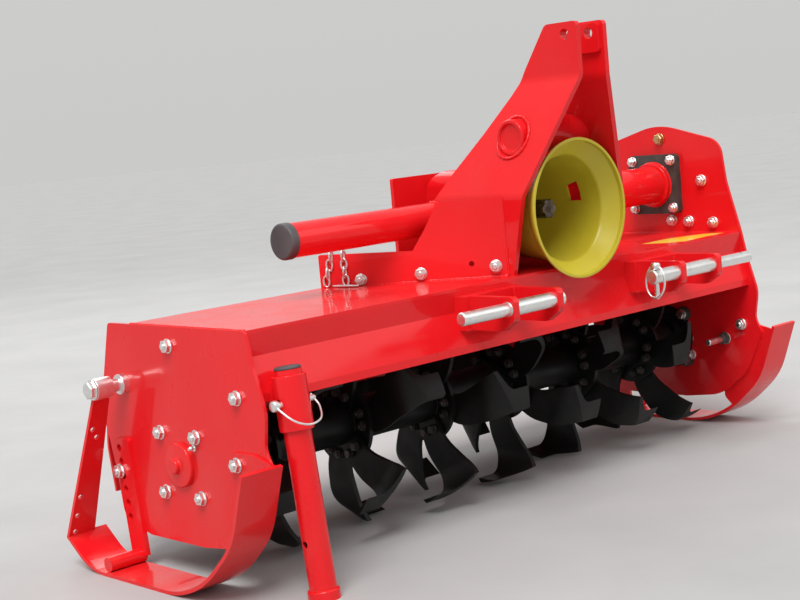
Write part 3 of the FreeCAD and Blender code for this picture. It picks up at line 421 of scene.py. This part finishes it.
def circle_points(middle, radius, across, up, count):
    """Places round a circle in the plane of two directions."""
    return oval(middle, radius, radius, across, up, count)


# Where the main pieces are, read from the frame in machine coordinates

def span(node):
    """A node's lowest and highest corners in mm."""
    low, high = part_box(node)
    return tuple(Vector((v.x, v.y - AXIS_Y, v.z)) * 1000 for v in (low, high))


INSIDE_LEFT = span("side_plate_left")[1].x
OUTSIDE_RIGHT = span("side_plate_right")[1].x
DECK_TOP = span("gearbox")[0].z
HITCH_X = (span("gearbox")[0].x + span("gearbox")[1].x) / 2
SHAFT_Z = (span("stub_tube")[0].z + span("stub_tube")[1].z) / 2
ROTOR_Z = AXIS_Z * 1000
MAST_FACE = HITCH_X - span("mast_left")[0].x
MAST_FRONT = -187
MAST_BEND_Z = 548
WELD_GAP = 0.3
PANEL_HEIGHT = 50
PANEL_HEAD = Vector((-MAST_FACE, MAST_FRONT + 10, 0))
PANEL_TAIL = Vector((span("rear_panel")[0].x - HITCH_X, span("rear_panel")[1].y, 0))
PANEL_ALONG = (PANEL_TAIL - PANEL_HEAD).normalized()

# Places taken from the photograph, in mm: on a plate as (y, z), on a panel as (along it, z) and on
# the deck as (x, y); for a bearing and the drive flange, half the distance between two bolts

BEARING_BOLT, FLANGE_BOLT = 49, 50
NUTS_LEFT = ((1, 378), (-168, 306))
NUTS_RIGHT = ((-115, 517), (-138, 429), (-77, 432), (-34, 435), (-190, 217), (-54, 182),
              (-58, 147))
NUTS_PANEL = ((22.7, 427.6), (159.3, 422.8), (271.2, 419.2))
NUT_STRAP, NUT_EAR = (170, 160), (-158, 203)
PLUG_RIGHT = (-15, 608)
LONG_BOLT = (-148, 186)
NIPPLE = (-44, 218)
BREATHER = (30, 20)
DECK_FLASH = ((425, -112), (520, -108), (600, -140), (612, -176), (560, -176), (470, -186),
              (440, -160))

# The rotor's flanges and tines, as in the solids, in mm and degrees

FLANGES, FLANGE_STEP = 6, 200
TINES, TINE_TURN, HELIX_TURN = 6, 60, 20
TINE_BOLTS = ((-11, 56), (11, 56))

# The stand's leg: the middle of its upper end in mm and the way that it slides

STAND_TOP = (-592, -236, 345.9)
STAND_SLOPE = Vector((0, 0.0976, 0.9952))

SIDES = (("left", LEFT, 1), ("right", RIGHT, -1))


def corners(half):
    """The four corners of a square bolt pattern."""
    return [(s * half, k * half) for s in (-1, 1) for k in (-1, 1)]


def on_panel(along, z, sign=1):
    """A place on a splayed panel's outer face, mm from the mast; sign -1 is the right panel."""
    spot = PANEL_HEAD + PANEL_ALONG * along
    return Vector((HITCH_X + sign * spot.x, spot.y, z))


def panel_out(sign=1):
    """The direction that a splayed panel's outer face looks to."""
    return Vector((-PANEL_ALONG.y * sign, PANEL_ALONG.x, 0))


def make_nuts():
    """The nuts on the plates, the drive flange, the skids and the panels."""
    bearing = tuple((y, ROTOR_Z + z) for y, z in corners(BEARING_BOLT))
    for name, face, spots, sizes in (
        ("nuts_left_plate", FACE_LEFT, NUTS_LEFT + bearing, {}),
        ("nuts_right_plate", FACE_RIGHT, NUTS_RIGHT, {}),
        ("plug_right_plate", FACE_RIGHT, (PLUG_RIGHT,), {"look": "brass", "stud": 2.0}),
    ):
        nuts(name, [(face, y, z) for y, z in spots], LEFT, "chassis", **sizes)
    low, high = span("drive_flange")
    middle = (low + high) / 2
    flange = [(low.x, middle.y + y, middle.z + z) for y, z in corners(FLANGE_BOLT)]
    nuts("nuts_drive_flange", flange, LEFT, "chassis", across=17.0)
    for word, out, _ in SIDES:
        face = FACE_LEFT if out is LEFT else OUTSIDE_RIGHT
        for holder, thickness, spot in (("strap", 8, NUT_STRAP), ("ear", 5, NUT_EAR)):
            spots = [(face + out.x * thickness, *spot)]
            nuts(f"nut_skid_{holder}_{word}", spots, out, "chassis")
    for word, _, sign in SIDES:
        spots = [on_panel(along, z, sign) for along, z in NUTS_PANEL]
        nuts(f"nuts_panel_{word}", spots, panel_out(sign), "chassis", across=18.0)


def make_long_bolt():
    """The long bolt that stands inwards from the right plate, with a black lock nut."""
    place = placed(at(FACE_RIGHT, *LONG_BOLT), LEFT)
    bm = bmesh.new()
    rings(bm, ((6.4, 0.2), (6.4, 61), (5.2, 62.5)), 28, place)
    rings(bm, ((12.5, 0.1), (13, 0.5), (13, 2), (12.5, 2.4)), 32, place)
    finished("long_bolt_right_plate", bm, "zinc_plate", "chassis")
    bm = bmesh.new()
    rings(bm, ((9.6, 2.5), (11, 4), (11, 16), (9.6, 17.5)), 6, place, skew=0.3)
    finished("long_bolt_lock_nut", bm, "dark_paint", "chassis")


def make_skid_pin_heads():
    """The plated heads and sleeves that hold the skids' rear arms on their pins."""
    head_back, sleeve_back = 2, 32
    for word, out, _ in SIDES:
        low, high = span(f"skid_pin_{word}")
        tip = high.x if out.x > 0 else low.x
        middle = (low + high) / 2
        head, sleeve = (placed(at(tip - out.x * back, middle.y, middle.z), out)
                        for back in (head_back, sleeve_back))
        bm = bmesh.new()
        rings(bm, ((16.5, 0.2), (17, 0.6), (17, 2.2), (16.5, 2.6)), 32, head)
        rings(bm, ((15, 2.4), (15, 9.5), (12.6, 11.5)), 6, head, skew=0.3)
        rings(bm, ((16.8, -0.6), (17.7, 0.2), (17.7, 29.4), (17.2, 30)), 40, sleeve)
        finished(f"skid_pin_head_{word}", bm, "zinc_plate", "chassis")


def make_gussets():
    """The upper part of each splayed panel, from its top edge up to the mast's lower bend."""
    low, high = span("gearbox_brace")
    thickness = high.y - low.y
    outline = ((0.5, DECK_TOP + PANEL_HEIGHT + 0.6), (0.5, MAST_BEND_Z), (113, MAST_BEND_Z),
               (124, 541), (146, 502), (176, 458.2))
    for word, _, sign in SIDES:
        outer = [on_panel(along, z, sign) for along, z in outline]
        inner = [spot - panel_out(sign) * thickness for spot in outer]
        for spot in inner[:2]:
            spot.x = HITCH_X - sign * (MAST_FACE + WELD_GAP)
        bm = bmesh.new()
        slab(bm, [at(*spot) for spot in outer], [at(*spot) for spot in inner])
        bmesh.ops.bevel(bm, geom=bm.edges, offset=0.0007, segments=2, affect="EDGES")
        finished(f"panel_gusset_{word}", bm, "red_paint", "chassis")


def make_brace_corners():
    """The square upper corners of the plate behind the gearbox, which the solid has cut off."""
    low, high = span("gearbox_brace")
    skin, reach, chamfer = 0.15, 50, 2
    top = high.z - skin
    for word, side, sign in (("left", low.x, 1), ("right", high.x, -1)):
        edge = side + sign * skin
        outline = ((edge, top - reach), (edge, top - chamfer), (edge + sign * chamfer, top),
                   (edge + sign * reach, top))
        bm = bmesh.new()
        slab(bm, *([at(x, y, z) for x, z in outline] for y in (low.y + skin, high.y - skin)))
        finished(f"brace_corner_{word}", bm, "red_paint", "chassis")


def make_bearing_ears():
    """The corner lugs of the bearing housings inside the plates, with their bolt heads."""
    thickness = 11.5
    for word, face, out in (("left", INSIDE_LEFT, RIGHT), ("right", FACE_RIGHT, LEFT)):
        ears = bmesh.new()
        heads = bmesh.new()
        for y, z in corners(BEARING_BOLT):
            spot = at(face, y, ROTOR_Z + z)
            rings(ears, ((15, 0.2), (15, thickness - 1), (14, thickness)), 28, placed(spot, out))
            hexagon(heads, spot, out, 17.0, 8.0, lift=thickness)
        finished(f"bearing_ears_{word}", ears, "dark_paint", "chassis")
        finished(f"bearing_bolts_{word}", heads, "zinc_plate", "chassis")


def make_case_bolts():
    """The bolts round the gear case's rim, and its oil level and drain plugs."""
    rim_thickness, inset = 6, 7
    around, first, turn = 6, 3, 34.8
    low, high = span("gear_case")
    upper, lower = high.z - SHAFT_Z, ROTOR_Z - low.z
    spots = []
    for middle, radius, start in ((SHAFT_Z, upper - inset, 0), (ROTOR_Z, lower - inset, 180)):
        for i in range(around):
            a = math.radians(start + first + turn * i)
            spots.append((radius * math.cos(a), middle + radius * math.sin(a)))
    for share in (0.26, 0.5, 0.74):
        for s in (-1, 1):
            reach = lower - inset + (upper - lower) * share
            spots.append((s * reach, ROTOR_Z + (SHAFT_Z - ROTOR_Z) * share))
    bm = bmesh.new()
    for y, z in spots:
        hexagon(bm, at(OUTSIDE_RIGHT + rim_thickness, y, z), RIGHT, 13.0, 7.0)
    finished("gear_case_bolts", bm, "zinc_plate", "chassis")
    bm = bmesh.new()
    for y, z in ((0, ROTOR_Z - 60), (-40, SHAFT_Z - 20)):
        hexagon(bm, at(high.x, y, z), RIGHT, 22.0, 9.0)
    finished("gear_case_plugs", bm, "zinc_plate", "chassis")


def make_breather():
    """The breather on the gearbox."""
    top = span("gearbox")[1].z
    bm = bmesh.new()
    matrix = hexagon(bm, at(HITCH_X + BREATHER[0], BREATHER[1], top), UP, 22.0, 8.0)
    rings(bm, ((6, 8), (6, 16), (9, 17), (9, 24), (6, 28)), 24, matrix)
    finished("gearbox_breather", bm, "brass", "chassis")


def flange_x(i):
    """The middle of a flange of the rotor, counted from the left."""
    return (i - (FLANGES - 1) / 2) * FLANGE_STEP


def make_tine_bolts():
    """Two bolts through each tine and its flange, on tines that go left and right in turn."""
    head_lift, nut_lift = 12, 4
    bm = bmesh.new()
    for i in range(FLANGES):
        for k in range(TINES):
            turn = math.radians(TINE_TURN * k + HELIX_TURN * i)
            way = 1 if k % 2 else -1
            for y, z in TINE_BOLTS:
                spot = (y * math.cos(turn) - z * math.sin(turn),
                        ROTOR_Z + y * math.sin(turn) + z * math.cos(turn))
                hexagon(bm, at(flange_x(i) + way * head_lift, *spot), RIGHT * way, 14.0, 7.0)
                nut(bm, at(flange_x(i) - way * nut_lift, *spot), LEFT * way, across=14.0)
    finished("tine_bolts", bm, "tine_bolt", "rotor")


def make_linch_pin():
    """A linch pin through the right hitch pin's inner end, with its ring round that end."""
    from_end = 14
    ring_drop, ring_radius, ring_squash, ring_lean = 9, 29, 0.72, 0.10
    low, high = span("hitch_pin_right")
    x = low.x + from_end
    y, z = (low.y + high.y) / 2, (low.z + high.z) / 2
    outline = ((2.4, -41), (4.2, -37), (4.2, 13.2), (7.5, 13.4), (8.5, 15), (8.5, 22), (6.5, 25))
    bm = bmesh.new()
    rings(bm, outline, 24, placed(at(x, y, z), UP))
    hinge = ring_radius - ring_drop
    ring = [Vector((p.x - ring_lean * (z + hinge - p.z), y + (p.y - y) * ring_squash, p.z))
            for p in circle_points((x - 1, y, z - ring_drop), ring_radius, FRONT, UP, 16)]
    wire(bm, ring, 2.1, closed=True, sides=12, steps=6)
    finished("linch_pin", bm, "zinc_plate", "chassis", smooth=50)


def make_stand_clip():
    """The stand's locking pin, with a wire round the sleeve that hooks on its far end."""
    behind_front, above_end = 26.6, 45
    low, high = span("stand_sleeve")
    pin = Vector(((low.x + high.x) / 2, low.y + behind_front, low.z + above_end))
    outline = ((3.5, -39), (4.9, -36), (4.9, 34), (8.5, 34.2), (8.5, 41), (7, 42.5))
    path = ((-38, 0, 3), (-37, -12, -6), (-26, -30, -22), (-4, -38, -30),
            (22, -32, -26), (36, -14, -12), (37, -3, -3), (36.5, 5, 5))
    bm = bmesh.new()
    rings(bm, outline, 24, placed(at(*pin), LEFT))
    wire(bm, [pin + Vector(step) for step in path], 1.7)
    finished("stand_clip", bm, "zinc_plate", "chassis", smooth=50)


def make_stand_plug():
    """The black plug in the top of the stand's leg, which slides with it."""
    outline = ((16, -9), (17.4, -7), (17.4, 0.2), (20.4, 0.3), (21, 1), (20.7, 3), (18, 4.8),
               (10, 5.6))
    bm = bmesh.new()
    rings(bm, outline, 36, placed(at(*STAND_TOP), STAND_SLOPE))
    finished("stand_plug", bm, "dark_plastic", "stand", smooth=40)


def make_chain():
    """Two strands of chain hooked over the left panel's rear end."""
    links, first_height, drop = 4, 55, 14.5
    points, half_height, half_width, reach_back = 12, 10, 5.4, 2.2
    out = panel_out()
    bm = bmesh.new()
    for start, lean in ((300, 0.6), (323, -3.84)):
        for i in range(links):
            middle = on_panel(start - lean * i, DECK_TOP + first_height - drop * i)
            middle += out * (4.4 + 0.6 * i)
            side = PANEL_ALONG if i % 2 else (out + UP * 0.2)
            side = (side + PANEL_ALONG * 0.25).normalized()
            link = [spot - out * min(0, (spot - middle).dot(out) + reach_back)
                    for spot in oval(middle, half_height, half_width, UP, side, points)]
            wire(bm, link, 2.0, closed=True, sides=8, steps=3)
        over = [on_panel(start + along, DECK_TOP + z) + out * away
                for along, z, away in ((4, 56, 3), (3, 63, 1), (1, 63, -9), (-1, 50, -11))]
        wire(bm, over, 1.6, sides=8, steps=6)
    finished("clip_chain", bm, "zinc_plate", "chassis", smooth=50)


def make_spring_clip():
    """The spring clip that lies on the deck at the chain's foot."""
    foot = on_panel(318, DECK_TOP + 2.4) + panel_out() * 9
    ahead = (PANEL_ALONG - panel_out() * 0.35).normalized()
    turn = ahead.cross(UP)
    path = ((-52, 0), (0, 0.5), (9, 5), (12, 12), (3, 15), (0, 7), (-14, 4), (-24, 7), (-40, 4))
    bm = bmesh.new()
    wire(bm, [foot + ahead * x + turn * y for x, y in path], 1.9)
    finished("spring_clip", bm, "zinc_plate", "chassis", smooth=50)


def make_grease_nipple():
    """The grease nipple by the idle shaft's cap."""
    bm = bmesh.new()
    rings(bm, ((5.5, -0.4), (5.5, 4), (3, 5), (3, 8), (4, 10), (2.4, 13)), 20,
          placed(at(FACE_LEFT, *NIPPLE), LEFT))
    finished("grease_nipple", bm, "zinc_plate", "chassis")


def make_deck_flash():
    """The plain yellow flash at the right end of the deck."""
    bm = bmesh.new()
    slab(bm, *([at(x, y, DECK_TOP + lift) for x, y in DECK_FLASH] for lift in (0.25, -0.2)))
    finished("deck_flash", bm, "yellow_film", "chassis")


def make_welds():
    """Painted weld beads where the plates, tubes and brackets meet."""
    spacer_radius, flange_radius = 36, 46
    spacer_face, mast_slope = 89.4, 0.4975
    panel_length, plate_front, plate_rear = 343, -196, 112
    bm = bmesh.new()
    rear = span("gearbox_brace")
    for tube, sign, inset in (("stub_tube", 1, 0), ("drive_tube", -1, 7)):
        face = HITCH_X - sign * (MAST_FACE + WELD_GAP)
        bead(bm, [(face, MAST_FRONT + 24, DECK_TOP), (face, rear[0].y - 1, DECK_TOP)], 3.4)
        bead(bm, [on_panel(4, DECK_TOP, sign), on_panel(panel_length, DECK_TOP, sign)], 3.0)
        bead(bm, [on_panel(1, DECK_TOP + z, sign) for z in (2, PANEL_HEIGHT)], 2.8)
        radius = span(tube)[1].z - SHAFT_Z - inset
        bead(bm, circle_points((face, 0, SHAFT_Z), radius, REAR, UP, 40), 3.2, closed=True)
        low, high = span("mast_spacer")
        middle = (low + high) / 2
        ring = circle_points((face, middle.y, middle.z), spacer_radius, REAR, UP, 36)
        for p in ring:
            p.x = HITCH_X - sign * (spacer_face - (p.z - middle.z) * mast_slope)
        bead(bm, ring, 3.8, closed=True)
    bead(bm, [(rear[0].x, rear[1].y, DECK_TOP), (rear[1].x, rear[1].y, DECK_TOP)], 3.2)
    flange = span("drive_flange")[0].x
    bead(bm, circle_points((flange, 0, SHAFT_Z), flange_radius, REAR, UP, 44), 2.8, closed=True)
    for face in (INSIDE_LEFT, FACE_RIGHT):
        bead(bm, [(face, plate_front, DECK_TOP), (face, plate_rear, DECK_TOP)], 2.2)
    finished("weld_beads", bm, "red_paint", "chassis", smooth=60)


def make_rotor_welds():
    """Weld beads round the rotor's tube on both sides of each flange."""
    tube_radius, half_flange = 38, 4.2
    bm = bmesh.new()
    for i in range(FLANGES):
        for side in (-1, 1):
            middle = (flange_x(i) + side * half_flange, 0, ROTOR_Z)
            bead(bm, circle_points(middle, tube_radius, REAR, UP, 40), 3.0, closed=True)
    finished("rotor_welds", bm, "black_tine", "rotor", smooth=60)


# Floor and light

def make_stage():
    """A plain pale floor."""
    bm = bmesh.new()
    bmesh.ops.create_circle(bm, cap_ends=True, segments=64, radius=40)
    mesh = bpy.data.meshes.new("floor")
    bm.to_mesh(mesh)
    bm.free()
    floor = bpy.data.objects.new("floor", mesh)
    bpy.context.scene.collection.objects.link(floor)
    look = Look("floor_grey")
    look.colour(look.mixed(look.ramp(look.noise(3, 6), 0.3, 0.7),
                           (0.385, 0.383, 0.380), (0.425, 0.423, 0.418)))
    look.roughness(look.ramp(look.noise(20, 4), 0.3, 0.7, 0.8, 0.95))
    mesh.materials.append(look.material)


def make_sky():
    """A plain sky that is lighter overhead."""
    world = bpy.data.worlds.new("sky")
    bpy.context.scene.world = world
    world.use_nodes = True
    tree = world.node_tree
    place = tree.nodes.new("ShaderNodeTexCoord")
    height = tree.nodes.new("ShaderNodeSeparateXYZ")
    shades = tree.nodes.new("ShaderNodeValToRGB")
    tree.links.new(place.outputs["Generated"], height.inputs[0])
    tree.links.new(height.outputs["Z"], shades.inputs["Fac"])
    tree.links.new(shades.outputs["Color"], tree.nodes["Background"].inputs["Color"])
    shades.color_ramp.elements[0].color = (0.80, 0.80, 0.79, 1)
    shades.color_ramp.elements[1].color = (1.0, 1.0, 1.0, 1)
    tree.nodes["Background"].inputs["Strength"].default_value = 0.74


def make_lights():
    """Soft studio lamps, all aimed at the middle of the machine."""
    aim = Vector((0, 0, 0.4))
    for name, kind, place, spread, power in (
        # name, kind, place in m, size in m or angle in degrees, power
        ("key", "SUN", (-2.0, -1.4, 4.2), 32, 2.75),
        ("fill", "AREA", (2.6, -3.0, 2.8), 2.4, 22),
        ("back", "AREA", (1.0, 3.2, 3.6), 2.4, 60),
    ):
        data = bpy.data.lights.new(name, kind)
        if kind == "SUN":
            data.angle = math.radians(spread)
        else:
            data.size = spread
        data.energy = power
        lamp = bpy.data.objects.new(name, data)
        lamp.location = place
        lamp.rotation_mode = "QUATERNION"
        lamp.rotation_quaternion = (aim - Vector(place)).to_track_quat("-Z", "Y")
        bpy.context.scene.collection.objects.link(lamp)


bpy.context.scene.view_settings.view_transform = "Standard"
for make in (
    make_camera, dress_nodes,
    make_nuts, make_long_bolt, make_skid_pin_heads, make_gussets, make_brace_corners,
    make_bearing_ears, make_case_bolts, make_breather, make_tine_bolts, make_linch_pin,
    make_stand_clip, make_stand_plug, make_chain, make_spring_clip, make_grease_nipple,
    make_deck_flash, make_welds, make_rotor_welds,
    make_stage, make_sky, make_lights,
):
    make()
